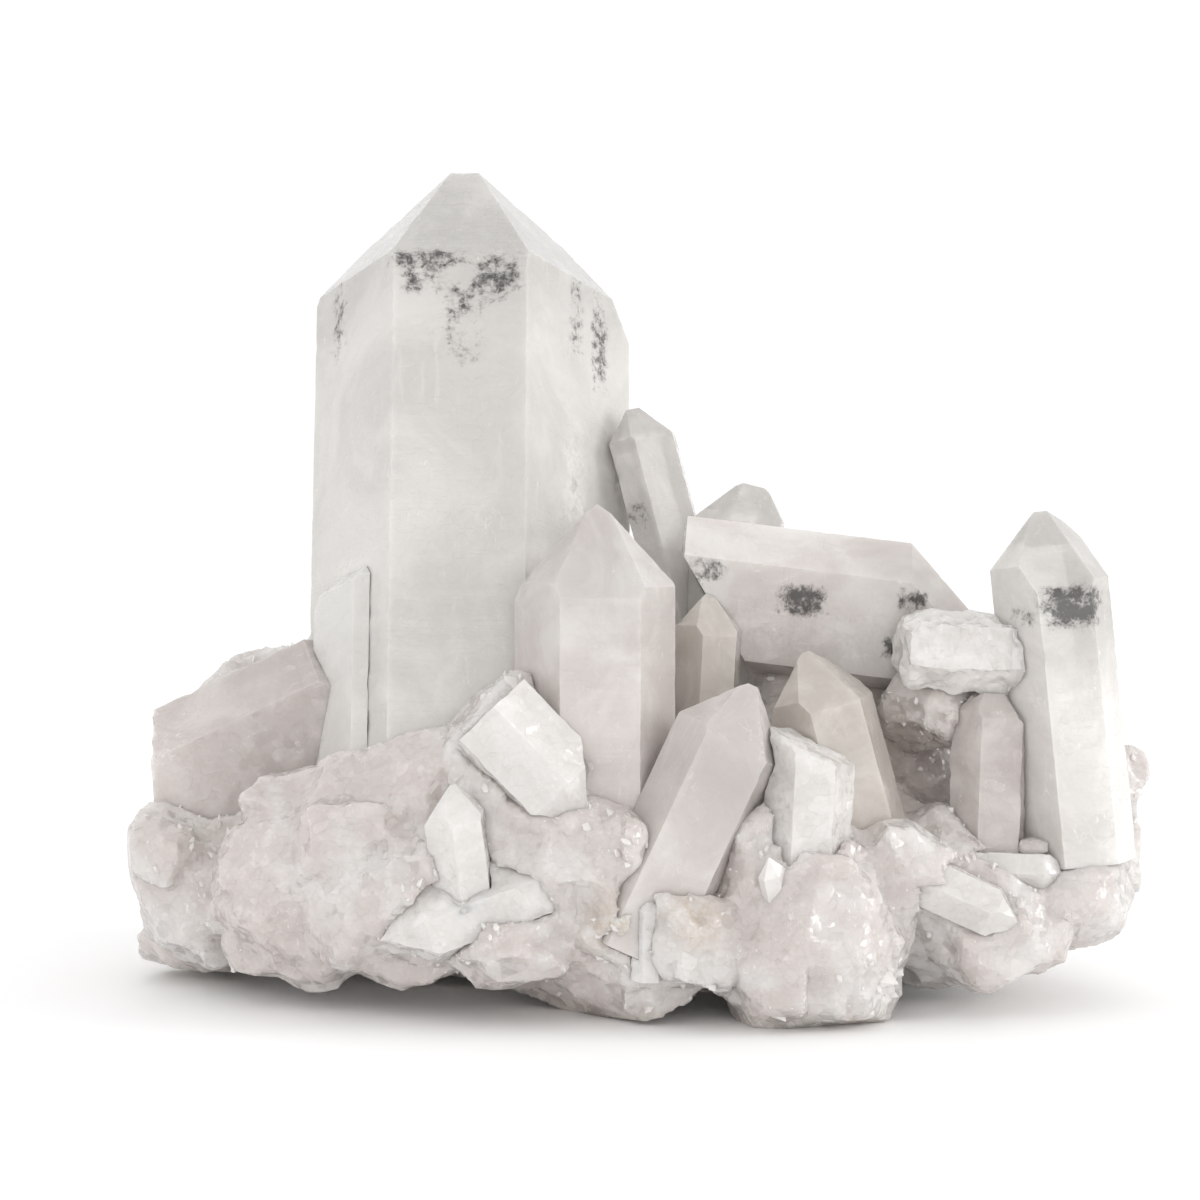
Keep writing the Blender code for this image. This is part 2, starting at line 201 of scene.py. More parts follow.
@dataclass(frozen=True)
class QuartzFinish:
    """Quartz, silicon dioxide, as it grew: glassy faces over a body that is clear or full of milky veils.

    Every pattern reads the attribute "growth", which is a place in millimetres with Z along the crystal.

    Args:
        name: The material's name.
        body: The colour between the veils.
        milk: The colour of the veils.
        clearness: How much light goes through, from none to one.
        roughness: How rough the glassiest skin is.
        veil_size: How wide the veils are, in millimetres.
        frost_all: How etched the whole skin is, from none to one.
        cracked: How plain the healed fractures are.
        rubble: How high the chipped relief is where the skin is not etched.
        scatter: How far light wanders inside, in millimetres.
        ior: The quartz's index of refraction.
        inclusion_and_dark_reflection: The colour of the dark, mossy marks: partly inclusions and
            fractures, partly painted reflections of dark surroundings seen inside the crystal.
        rust_and_floor_shade: The colour of the iron stains, and of the painted shade near the floor.
    """

    name: str
    body: str
    milk: str
    clearness: float
    roughness: float
    veil_size: float = 16.0
    frost_all: float = 0.0
    cracked: float = 0.5
    rubble: float = 0.05
    scatter: float = 3.0
    ior: float = 1.544
    inclusion_and_dark_reflection: str = "#2B2927"
    rust_and_floor_shade: str = "#A8906C"

    def noise(self, tree: Any, place: Any, size: tuple[float, float, float], detail: float,
              rough: float, warp: float = 0.0) -> Any:
        """Adds a cloudy pattern.

        Args:
            tree: The node tree.
            place: The socket with the place in millimetres.
            size: How long the clouds are each way, in millimetres.
            detail: How many finer layers there are.
            rough: How strong the finer layers are.
            warp: How far the pattern is drawn into wisps.

        Returns:
            The socket of its strength.
        """
        scaled = add(tree, "ShaderNodeMapping", None,
                     {"Vector": place, "Scale": tuple(1 / s for s in size)}).outputs[0]
        return add(tree, "ShaderNodeTexNoise", None,
                   {"Vector": scaled, "Scale": 1.0, "Detail": detail, "Roughness": rough,
                    "Distortion": warp}).outputs[0]

    def crack(self, tree: Any, place: Any) -> Any:
        """Adds the healed fractures, thin white sheets that show as short lines and flecks.

        Args:
            tree: The node tree.
            place: The socket with the place in millimetres.

        Returns:
            The socket of how white the quartz is there.
        """
        sway = add(tree, "ShaderNodeTexNoise", None,
                   {"Vector": place, "Scale": 0.35, "Detail": 4.0, "Roughness": 0.7}).outputs["Color"]
        bent = add(tree, "ShaderNodeVectorMath", {"operation": "MULTIPLY_ADD"},
                   {0: sway, 1: (3.4, 3.4, 3.4), 2: place}).outputs[0]
        squeezed = add(tree, "ShaderNodeMapping", None,
                       {"Vector": bent, "Scale": (0.21, 0.21, 0.13)}).outputs[0]
        sheet = add(tree, "ShaderNodeTexVoronoi", {"feature": "DISTANCE_TO_EDGE"},
                    {"Vector": squeezed, "Scale": 1.0}).outputs["Distance"]
        line = ramp(tree, sheet, 0.004, 0.03, 0.35, 0.0)
        area = ramp(tree, self.noise(tree, place, (7.0, 7.0, 11.0), 4.0, 0.65), 0.52, 0.68)
        fleck = ramp(tree, self.noise(tree, place, (0.8, 0.8, 2.0), 3.0, 0.7), 0.6, 0.7)
        flecks = maths(tree, "MULTIPLY", fleck, ramp(tree, area, 0.0, 1.0, 0.12, 0.8))
        return maths(tree, "MULTIPLY",
                     maths(tree, "ADD", maths(tree, "MULTIPLY", line, area), flecks), self.cracked)

    def chips(self, tree: Any, place: Any) -> Any:
        """Adds the relief of broken quartz: small flat faces, each tilted its own way.

        Args:
            tree: The node tree.
            place: The socket with the place in millimetres.

        Returns:
            The socket of its height in millimetres, for a rubble of one.
        """
        total = None
        for size in CHIP_SIZES:
            cells = add(tree, "ShaderNodeTexVoronoi", {"feature": "F1"},
                        {"Vector": place, "Scale": 1 / size})
            away = add(tree, "ShaderNodeVectorMath", {"operation": "SUBTRACT"},
                       {0: place, 1: cells.outputs["Position"]})
            turn = add(tree, "ShaderNodeVectorMath", {"operation": "SUBTRACT"},
                       {0: cells.outputs["Color"], 1: (0.5, 0.5, 0.5)})
            height = add(tree, "ShaderNodeVectorMath", {"operation": "DOT_PRODUCT"},
                         {0: away.outputs[0], 1: turn.outputs[0]}).outputs["Value"]
            total = height if total is None else maths(tree, "MULTIPLY_ADD", height, CHIP_SHARE, total)
        return total

    def material(self) -> Any:
        """Makes the material.

        Returns:
            The new material.
        """
        made = bpy.data.materials.new(self.name)
        made.use_nodes = True
        tree = made.node_tree
        tree.nodes.clear()
        place = add(tree, "ShaderNodeAttribute", {"attribute_name": GROWTH}).outputs["Vector"]
        marks = {mark: add(tree, "ShaderNodeAttribute",
                           {"attribute_name": mark.value}).outputs["Fac"] for mark in Mark}
        veil = ramp(tree, self.noise(tree, place, (self.veil_size,) * 3, 5.0, 0.6, 0.8), 0.38, 0.66)
        wisp = ramp(tree, self.noise(tree, place, (3.2, 3.2, 13.0), 4.0, 0.62, 1.6), 0.55, 0.72)
        moss = self.noise(tree, place, (2.3, 2.3, 2.0), 8.0, 0.76)
        speck = self.noise(tree, place, (0.9, 0.9, 0.9), 5.0, 0.7)
        frost_and_highlight = maths(tree, "ADD", marks[Mark.FROST_AND_HIGHLIGHT], self.frost_all)
        # Dark marks: partly inclusions and fractures, partly painted reflections of the dark surroundings
        # inside the crystal.
        grown = maths(tree, "MULTIPLY_ADD", moss, 3.0, marks[Mark.DARK])
        dark = maths(tree, "MULTIPLY", ramp(tree, marks[Mark.DARK], 0.0, 0.3),
                     ramp(tree, grown, 1.75, 2.5))
        crack = self.crack(tree, place)
        # Iron stains, and on the mass a painted shade near the floor.
        stain_and_floor_shade = maths(tree, "MULTIPLY", marks[Mark.STAIN_AND_SHADE], ramp(tree, moss, 0.35, 0.62))
        cloud = maths(tree, "MAXIMUM", veil, maths(tree, "MULTIPLY", wisp, 0.5))
        colour = tint(tree, cloud, linearise(self.body), linearise(self.milk))
        colour = tint(tree, maths(tree, "MULTIPLY", frost_and_highlight, ramp(tree, speck, 0.3, 0.8)), colour,
                      linearise(FROST_AND_HIGHLIGHT_COLOUR))
        colour = tint(tree, maths(tree, "MULTIPLY", crack, 0.8), colour, linearise(CRACK_COLOUR))
        colour = tint(tree, maths(tree, "MULTIPLY", stain_and_floor_shade, 0.8), colour, linearise(self.rust_and_floor_shade))
        colour = tint(tree, maths(tree, "MULTIPLY", dark, 0.9), colour, linearise(self.inclusion_and_dark_reflection))
        hidden = maths(tree, "ADD", maths(tree, "MULTIPLY", cloud, 0.2),
                       maths(tree, "ADD", maths(tree, "MULTIPLY", frost_and_highlight, 0.45),
                             maths(tree, "ADD", maths(tree, "ADD", dark, stain_and_floor_shade), crack)))
        hidden = maths(tree, "ADD", hidden, maths(tree, "MULTIPLY", marks[Mark.MILK], 0.6))
        clear = maths(tree, "MULTIPLY", maths(tree, "SUBTRACT", 1.0, hidden), self.clearness)
        rough = maths(tree, "ADD", maths(tree, "MULTIPLY", frost_and_highlight, 0.25),
                      ramp(tree, speck, 0.35, 0.7, self.roughness, self.roughness + 0.08))
        striae = self.noise(tree, place, (14.0, 14.0, 0.55), 3.0, 0.6)
        grain = self.noise(tree, place, (0.8, 0.8, 0.8), 6.0, 0.7)
        fine = maths(tree, "MULTIPLY_ADD", striae, 0.05,
                     maths(tree, "MULTIPLY", grain, maths(tree, "MULTIPLY_ADD", frost_and_highlight, 0.06, 0.01)))
        broken = maths(tree, "MULTIPLY", self.chips(tree, place),
                       maths(tree, "MULTIPLY_ADD", frost_and_highlight, 0.35, self.rubble))
        bump = add(tree, "ShaderNodeBump", None,
                   {"Strength": 1.0, "Distance": MM,
                    "Height": maths(tree, "MULTIPLY_ADD", broken, 1.0, fine)}).outputs[0]
        shader = add(tree, "ShaderNodeBsdfPrincipled", {"subsurface_method": "RANDOM_WALK"},
                     {"Base Color": colour, "Roughness": rough, "IOR": self.ior,
                      "Transmission Weight": clear, "Subsurface Weight": 0.4,
                      "Subsurface Radius": (1.0, 0.94, 0.9), "Subsurface Scale": self.scatter * MM,
                      "Normal": bump}).outputs[0]
        add(tree, "ShaderNodeOutputMaterial", None, {"Surface": shader})
        return made


def crease(mesh: Any, angle: float) -> None:
    """Shades a mesh smoothly, but keeps the edges crisp that turn by more than an angle.

    Args:
        mesh: The mesh that is changed.
        angle: The angle, in radians.
    """
    work = bmesh.new()
    work.from_mesh(mesh)
    work.normal_update()
    for face in work.faces:
        face.smooth = True
    for edge in work.edges:
        edge.smooth = not (edge.is_manifold and edge.calc_face_angle(0.0) > angle)
    work.to_mesh(mesh)
    work.free()


def read(mesh: Any, what: str) -> np.ndarray:
    """Reads one vector of each point of a mesh.

    Args:
        mesh: The mesh that is read.
        what: "co" for the points' places, in metres, or "normal".

    Returns:
        One row for each point.
    """
    flat = np.zeros(len(mesh.vertices) * 3)
    mesh.vertices.foreach_get(what, flat)
    return flat.reshape(-1, 3)


def edge_ends(mesh: Any) -> np.ndarray:
    """Reads which points a mesh's edges join.

    Args:
        mesh: The mesh that is read.

    Returns:
        One row for each edge, with the numbers of its two points.
    """
    flat = np.zeros(len(mesh.edges) * 2, np.int32)
    mesh.edges.foreach_get("vertices", flat)
    return flat.reshape(-1, 2)


def bruised_and_highlit_edges(mesh: Any) -> np.ndarray:
    """Finds the arrises and knocked corners, which are whitened: partly bruising, which turns quartz
    white, partly a painted highlight where edges catch the light.

    Args:
        mesh: The mesh that is read.

    Returns:
        How sharply each point stands out, from none to one.
    """
    places, normals, ends = read(mesh, "co"), read(mesh, "normal"), edge_ends(mesh)
    result, met = np.zeros(len(places)), np.zeros(len(places))
    for first, second in ((0, 1), (1, 0)):
        way = places[ends[:, second]] - places[ends[:, first]]
        way /= np.maximum(np.linalg.norm(way, axis=1), 1e-9)[:, None]
        fall = -np.sum(way * normals[ends[:, first]], axis=1)
        np.add.at(result, ends[:, first], fall)
        np.add.at(met, ends[:, first], 1)
    return np.clip((result / np.maximum(met, 1) - BRUISE_FROM) / BRUISE_RANGE, 0.0, 1.0)


def store(mesh: Any, growth: np.ndarray, values: dict[Mark, np.ndarray]) -> None:
    """Writes the growth coordinates and the marks as point attributes.

    Args:
        mesh: The mesh that gets them.
        growth: Each point's place in millimetres.
        values: Each mark's strength at each point.
    """
    attribute = mesh.attributes.new(GROWTH, "FLOAT_VECTOR", "POINT")
    attribute.data.foreach_set("vector", growth.astype(np.float32).ravel())
    for mark in Mark:
        attribute = mesh.attributes.new(mark.value, "FLOAT", "POINT")
        value = values.get(mark, np.zeros(len(growth)))
        attribute.data.foreach_set("value", np.clip(value, 0.0, 1.0).astype(np.float32))


@dataclass(frozen=True)
class Patch:
    """A mark on the side of a crystal that faces the viewer.

    Args:
        mark: What it is.
        down: How far below the tip it lies along the crystal, in millimetres.
        across: How far from the line below the tip, in millimetres.
        tall: Half its height along the crystal.
        wide: Half its width.
        strength: How plain it is.
    """

    mark: Mark
    down: float
    across: float
    tall: float
    wide: float
    strength: float = 1.0


@dataclass(frozen=True)
class Skin:
    """How the faces of every crystal are worked.

    Growth steps come every few millimetres, and waves are as high as a share of a step. Chips along an
    arris are as deep as a multiple of its wear, where the noise is above a floor. A rate says how close
    together a relief's bumps are, and the steps fade on the faces that cross the crystal.
    """

    step_every: float = 1.9
    step_warp: float = 0.8
    warp_rate: float = 0.06
    cap_fade: float = 2.2
    wave: float = 0.88
    wave_rate: float = 0.16
    chip_rate: float = 0.45
    chip_floor: float = 0.22
    chip_depth: float = 4.5
    rugged_rate: float = 0.28
    break_rate: float = 0.22
    break_depth: float = 1.1


SKIN = Skin()


@dataclass
class CrystalPiece:
    """One crystal of the cluster: crisp faces with growth steps, worn arrises and marks inside.

    Args:
        node: The CAD node that it stands for.
        finish: The look of its quartz.
        slot: The record's slot of that finish.
        lean: Its long axis, towards the tip.
        grid: How far apart the lines of its fine mesh are, in millimetres.
        step: How high its growth steps are, in millimetres.
        wear: How deep its arrises are chipped, in millimetres.
        patches: The marks on it.
        break_side: Which way its broken end faces, where it has one.
        clear_to: How far below the tip the milk starts, in millimetres.
        rugged: How deep its skin is broken and etched, in millimetres.
        swell: How far it grows outward to close the gap around it, in millimetres.
    """

    node: str
    finish: str
    slot: Slot
    lean: tuple[float, float, float]
    grid: float = 1.6
    step: float = 0.07
    wear: float = 0.14
    patches: tuple[Patch, ...] = ()
    break_side: tuple[float, float, float] | None = None
    clear_to: float = 18.0
    rugged: float = 0.0
    swell: float = 0.0
    piece: Any = field(default=None, init=False)

    def axes(self) -> tuple[Vector, Vector, Vector]:
        """Works out the crystal's own directions.

        Returns:
            Across the side that the viewer sees, away from the viewer, and along the crystal.
        """
        along = Vector(self.lean).normalized()
        across = TOWARD_VIEWER.cross(along) * -1
        if across.length < 0.1:
            across = Vector((1.0, 0.0, 0.0))
        across.normalize()
        return across, along.cross(across).normalized(), along

    def build(self, source: Any) -> Any:
        """Makes the crystal's mesh from its CAD solid.

        Args:
            source: The CAD node's object.

        Returns:
            The new piece.
        """
        work = bmesh.new()
        work.from_mesh(source.data)
        bmesh.ops.remove_doubles(work, verts=work.verts[:], dist=WELD)
        bmesh.ops.dissolve_limit(work, angle_limit=FLAT_JOIN_ANGLE, verts=work.verts[:],
                                 edges=work.edges[:])
        arrises = [e for e in work.edges if e.is_manifold and e.calc_face_angle(0.0) > ARRIS_ANGLE]
        lines = [(e.verts[0].co.copy(), e.verts[1].co.copy()) for e in arrises]
        across, away, along = self.axes()
        corners = [v.co for v in work.verts]
        for direction in (along, across, away):
            spans = [c.dot(direction) for c in corners]
            count = int((max(spans) - min(spans)) / (self.grid * MM))
            for index in range(1, count):
                place = min(spans) + (max(spans) - min(spans)) * index / count
                bmesh.ops.bisect_plane(work, geom=work.verts[:] + work.edges[:] + work.faces[:],
                                       plane_co=direction * place, plane_no=direction, dist=1e-7)
        bmesh.ops.triangulate(work, faces=work.faces[:])
        self.carve(work, lines)
        mesh = bpy.data.meshes.new(self.node + "_grown")
        work.to_mesh(mesh)
        work.free()
        crease(mesh, CREASE_ANGLE)
        self.piece = bpy.data.objects.new(self.node + "_grown", mesh)
        bpy.context.scene.collection.objects.link(self.piece)
        return self.piece

    def carve(self, work: Any, lines: list[tuple[Vector, Vector]]) -> None:
        """Moves the fine mesh's points to make growth steps, soft waves and chipped arrises.

        Args:
            work: The mesh that is changed.
            lines: The ends of each arris.
        """
        along = self.axes()[2]
        counts = [max(2, int((end - start).length / ARRIS_SAMPLE)) for start, end in lines]
        tree = KDTree(sum(counts) or 1)
        slot = 0
        for (start, end), count in zip(lines, counts):
            for index in range(count):
                tree.insert(start.lerp(end, index / (count - 1)), slot)
                slot += 1
        tree.balance()
        work.normal_update()
        moves = []
        break_side = Vector(self.break_side).normalized() if self.break_side else None
        for vert in work.verts:
            place = vert.co / MM
            normal = vert.normal
            side = 1.0 - min(1.0, abs(normal.dot(along)) * SKIN.cap_fade)
            warp = SKIN.step_warp * noise.noise(place * SKIN.warp_rate + Vector((3.0, 5.0, 9.0)))
            level = math.floor(place.dot(along) / SKIN.step_every + warp)
            step = (noise.cell(Vector((level, 0.5, 0.5))) - 0.5) * 2 * self.step * side
            wave = SKIN.wave * self.step * noise.noise(place * SKIN.wave_rate)
            _, _, far = tree.find(vert.co)
            near = max(0.0, 1.0 - far / ARRIS_REACH) if lines else 0.0
            chip = noise.noise(place * SKIN.chip_rate + Vector((11.0, 2.0, 4.0)))
            chip = max(0.0, chip - SKIN.chip_floor) * self.wear * SKIN.chip_depth * near
            push = (step + wave) * (1 - near) - chip
            etched = noise.fractal(place * SKIN.rugged_rate, 0.9, 2.1, 3) - 0.3
            push += self.rugged * etched + self.swell
            if break_side and normal.dot(break_side) > 0.8:
                torn = 0.5 + noise.fractal(place * SKIN.break_rate, 1.0, 2.1, 4)
                push -= SKIN.break_depth * torn * (1 - near)
            moves.append(normal * push * MM)
        for vert, move in zip(work.verts, moves):
            vert.co += move

    def dress(self, materials: dict[str, Any]) -> None:
        """Gives the crystal its marks, its growth coordinates and its material.

        Args:
            materials: Each finish's material by name.
        """
        mesh = self.piece.data
        places, normals = read(mesh, "co") / MM, read(mesh, "normal")
        basis = np.array([list(axis) for axis in self.axes()])
        growth = places @ basis.T
        tip = places[np.argmax(growth[:, 2])] @ basis.T
        seen = np.clip((normals @ np.array(TOWARD_VIEWER) - 0.05) / 0.2, 0, 1)
        values = {mark: np.zeros(len(places)) for mark in Mark}
        for patch in self.patches:
            down = (tip[2] - growth[:, 2] - patch.down) / patch.tall
            side = (growth[:, 0] - tip[0] - patch.across) / patch.wide
            spot = np.exp(-(down ** 4 + side ** 4)) * patch.strength * seen
            values[patch.mark] = np.maximum(values[patch.mark], spot)
        if self.break_side:
            facing = normals @ np.array(Vector(self.break_side).normalized())
            values[Mark.FROST_AND_HIGHLIGHT] = np.maximum(values[Mark.FROST_AND_HIGHLIGHT], np.clip((facing - 0.6) / 0.3, 0, 1))
        # Arrises are whitened: partly bruising, partly a painted highlight.
        values[Mark.FROST_AND_HIGHLIGHT] = np.maximum(values[Mark.FROST_AND_HIGHLIGHT], ARRIS_FROST_AND_HIGHLIGHT * bruised_and_highlit_edges(mesh))
        values[Mark.MILK] = np.clip((tip[2] - growth[:, 2] - self.clear_to) / self.clear_to, 0, 1)
        store(mesh, growth, values)
        mesh.materials.clear()
        mesh.materials.append(materials[self.finish])


@dataclass(frozen=True)
class Stain:
    """A spot where iron has stained the broken mass; its centre and radius are in millimetres."""

    centre: tuple[float, float, float]
    radius: float
    strength: float


@dataclass
class BrokenMass:
    """The mass under the crystals: lumps of broken, milky quartz with faceted and granular skins.

    Cells are the widths of the broken faces in millimetres, tilts say how steeply the faces are turned,
    and the scoop how hollow they are. The skin moves between inmost and outmost, in millimetres. Against a
    crystal it rises to a lip instead, which keeps a share of the finest relief.
    """

    node: str = "quartz_base"
    voxel: float = 0.85
    triangles: int = 185000
    coarse_cell: float = 15.0
    middle_cell: float = 7.5
    fine_cell: float = 3.4
    coarse_tilt: float = 0.42
    middle_tilt: float = 0.5
    fine_tilt: float = 0.55
    scoop: float = 0.5
    inmost: float = -3.0
    outmost: float = 1.5
    lip: float = 0.9
    lip_grain: float = 0.6
    # How brown the skin within five millimetres of the floor turns: painted shade.
    floor_shade: float = 0.45
    piece: Any = field(default=None, init=False)

    def build(self, source: Any, crystals: list[Any]) -> Any:
        """Makes the mass from its CAD solid.

        Args:
            source: The CAD node's object.
            crystals: The CAD nodes that stand in it.

        Returns:
            The new piece.
        """
        mesh = source.data.copy()
        mesh.name = "broken_mass"
        work = bmesh.new()
        work.from_mesh(mesh)
        bmesh.ops.remove_doubles(work, verts=work.verts[:], dist=WELD)
        work.to_mesh(mesh)
        work.free()
        self.piece = bpy.data.objects.new("broken_mass", mesh)
        bpy.context.scene.collection.objects.link(self.piece)
        remesh = self.piece.modifiers.new("even_skin", "REMESH")
        remesh.mode = "VOXEL"
        remesh.voxel_size = self.voxel * MM
        graph = bpy.context.evaluated_depsgraph_get()
        fine = bpy.data.meshes.new_from_object(self.piece.evaluated_get(graph))
        self.piece.modifiers.clear()
        self.piece.data = fine
        bpy.data.meshes.remove(mesh)
        self.carve(fine, crystals)
        thin = self.piece.modifiers.new("fewer_faces", "DECIMATE")
        thin.ratio = min(1.0, self.triangles / (2 * len(fine.polygons)))
        graph = bpy.context.evaluated_depsgraph_get()
        self.piece.data = bpy.data.meshes.new_from_object(self.piece.evaluated_get(graph))
        self.piece.modifiers.clear()
        crease(self.piece.data, BROKEN_ANGLE)
        return self.piece

    def facets(self, places: np.ndarray, cell: float, tilt: float, seed: int) -> np.ndarray:
        """Breaks a surface into small tilted, slightly scooped faces, which meet in ridges.

        Args:
            places: The surface's points in millimetres.
            cell: How wide a face is.
            tilt: How steeply a face is turned.
            seed: Which set of faces is drawn.

        Returns:
            How far out each point goes, in millimetres.
        """
        draw = np.random.default_rng(seed)
        low = places.min(0) - cell
        steps = np.ceil((places.max(0) + cell - low) / cell).astype(int)
        corner = np.stack(np.meshgrid(*[np.arange(n) for n in steps], indexing="ij"), -1)
        seeds = low + (corner + draw.uniform(0.05, 0.95, corner.shape)) * cell
        turns = draw.normal(size=corner.shape)
        turns /= np.linalg.norm(turns, axis=-1)[..., None]
        home = np.floor((places - low) / cell).astype(int)
        result = np.full(len(places), np.inf)
        for shift in itertools.product((-1, 0, 1), repeat=3):
            near = tuple(np.clip(home + shift, 0, steps - 1).T)
            away = places - seeds[near]
            scoop = np.sum(away * away, axis=1) * self.scoop / cell
            result = np.minimum(result, (np.sum(away * turns[near], axis=1) + scoop) * tilt)
        return result - np.median(result)

    def collar(self, places: np.ndarray, crystals: list[Any]) -> np.ndarray:
        """Works out how close the skin is to the crystals.

        Args:
            places: The skin's points in millimetres.
            crystals: The CAD nodes that stand in it.

        Returns:
            One for a point on a crystal's face, falling to none at the collar's reach.
        """
        result = np.zeros(len(places))
        trees = []
        for crystal in crystals:
            work = bmesh.new()
            work.from_mesh(crystal.data)
            trees.append(BVHTree.FromBMesh(work))
            work.free()
        boxes = [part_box(crystal.name) for crystal in crystals]
        for index, place in enumerate(places * MM):
            point = Vector(place)
            for tree, (low, high) in zip(trees, boxes):
                if any(point[i] < low[i] - BOX_MARGIN or point[i] > high[i] + BOX_MARGIN
                       for i in range(3)):
                    continue
                found = tree.find_nearest(point, COLLAR_REACH)
                if found[0] is not None:
                    result[index] = max(result[index], 1.0 - found[3] / COLLAR_REACH)
        return result

    def relax(self, places: np.ndarray, ends: np.ndarray, share: np.ndarray) -> np.ndarray:
        """Draws points towards the middle of their neighbours.

        Args:
            places: The points.
            ends: The numbers of the two points that each edge joins.
            share: How much of the way each point goes in one pass.

        Returns:
            The new places.
        """
        count = len(places)
        first, second = ends[:, 0], ends[:, 1]
        met = np.bincount(ends.ravel(), minlength=count)[:, None]
        for _ in range(COLLAR_PASSES):
            total = np.zeros_like(places)
            for axis in range(3):
                total[:, axis] = (np.bincount(first, places[second, axis], count)
                                  + np.bincount(second, places[first, axis], count))
            places = places + (total / met - places) * share[:, None]
        return places

    def carve(self, mesh: Any, crystals: list[Any]) -> None:
        """Moves the skin's points into facets and grains, and closes it against the crystals.

        Args:
            mesh: The mesh that is changed.
            crystals: The CAD nodes that stand in it.
        """
        places, normals = read(mesh, "co") / MM, read(mesh, "normal")
        coarse = self.facets(places, self.coarse_cell, self.coarse_tilt, SEED)
        coarse += self.facets(places, self.middle_cell, self.middle_tilt, SEED + 2)
        fine = self.facets(places, self.fine_cell, self.fine_tilt, SEED + 1)
        rough = np.array([noise.noise(Vector(p) * 0.045 + Vector((4, 8, 1))) for p in places])
        granular = np.clip((rough + 0.02) * 3.5, 0.3, 1.0)
        below = np.clip((places[:, 2] - 1.0) / 4.0, 0.0, 1.0)
        push = np.clip(coarse + fine * granular, self.inmost, self.outmost) * below
        collar = self.collar(places, crystals)
        snug = np.clip((collar - 0.1) / 0.7, 0.0, 1.0)
        push = push * (1 - snug) + (self.lip + self.lip_grain * fine) * snug
        moved = self.relax(places + normals * push[:, None], edge_ends(mesh), 0.8 * snug)
        moved[:, 2] = np.maximum(moved[:, 2], 0.0)
        mesh.vertices.foreach_set("co", (moved * MM).astype(np.float32).ravel())
        mesh.update()
        # Granular patches are etched white; broken ridges are whitened, partly bruising, partly a painted
        # highlight.
        frost_and_highlight = np.maximum(granular * 0.2, BROKEN_FROST_AND_HIGHLIGHT * bruised_and_highlit_edges(mesh))
        store(mesh, moved, {Mark.FROST_AND_HIGHLIGHT: frost_and_highlight, Mark.STAIN_AND_SHADE: self.stain_and_floor_shade(moved)})
        attribute = mesh.attributes.new(DRUSE, "FLOAT", "POINT")
        sugar = np.clip(granular * 1.1 - 0.4, 0.0, 1.0) + 0.5 * np.clip(collar * 1.4, 0.0, 1.0)
        attribute.data.foreach_set("value", (sugar * below).astype(np.float32))

    def stain_and_floor_shade(self, places: np.ndarray) -> np.ndarray:
        """Works out where iron has stained the hollows, and browns the skin near the floor as painted
        shade.

        Args:
            places: The skin's points in millimetres.

        Returns:
            How strong the iron staining and the painted shade are at each point, from none to one.
        """
        result = np.zeros(len(places))
        for spot in STAINS:
            far = np.linalg.norm(places - np.array(spot.centre), axis=1) / spot.radius
            result = np.maximum(result, np.exp(-far ** 2) * spot.strength)
        return np.maximum(result, np.clip((5.0 - places[:, 2]) / 5.0, 0, 1) * self.floor_shade)

    def dress(self, materials: dict[str, Any]) -> None:
        """Gives the mass its material, which is picked by its finish's name."""
        self.piece.data.materials.clear()
        self.piece.data.materials.append(materials["massive"])


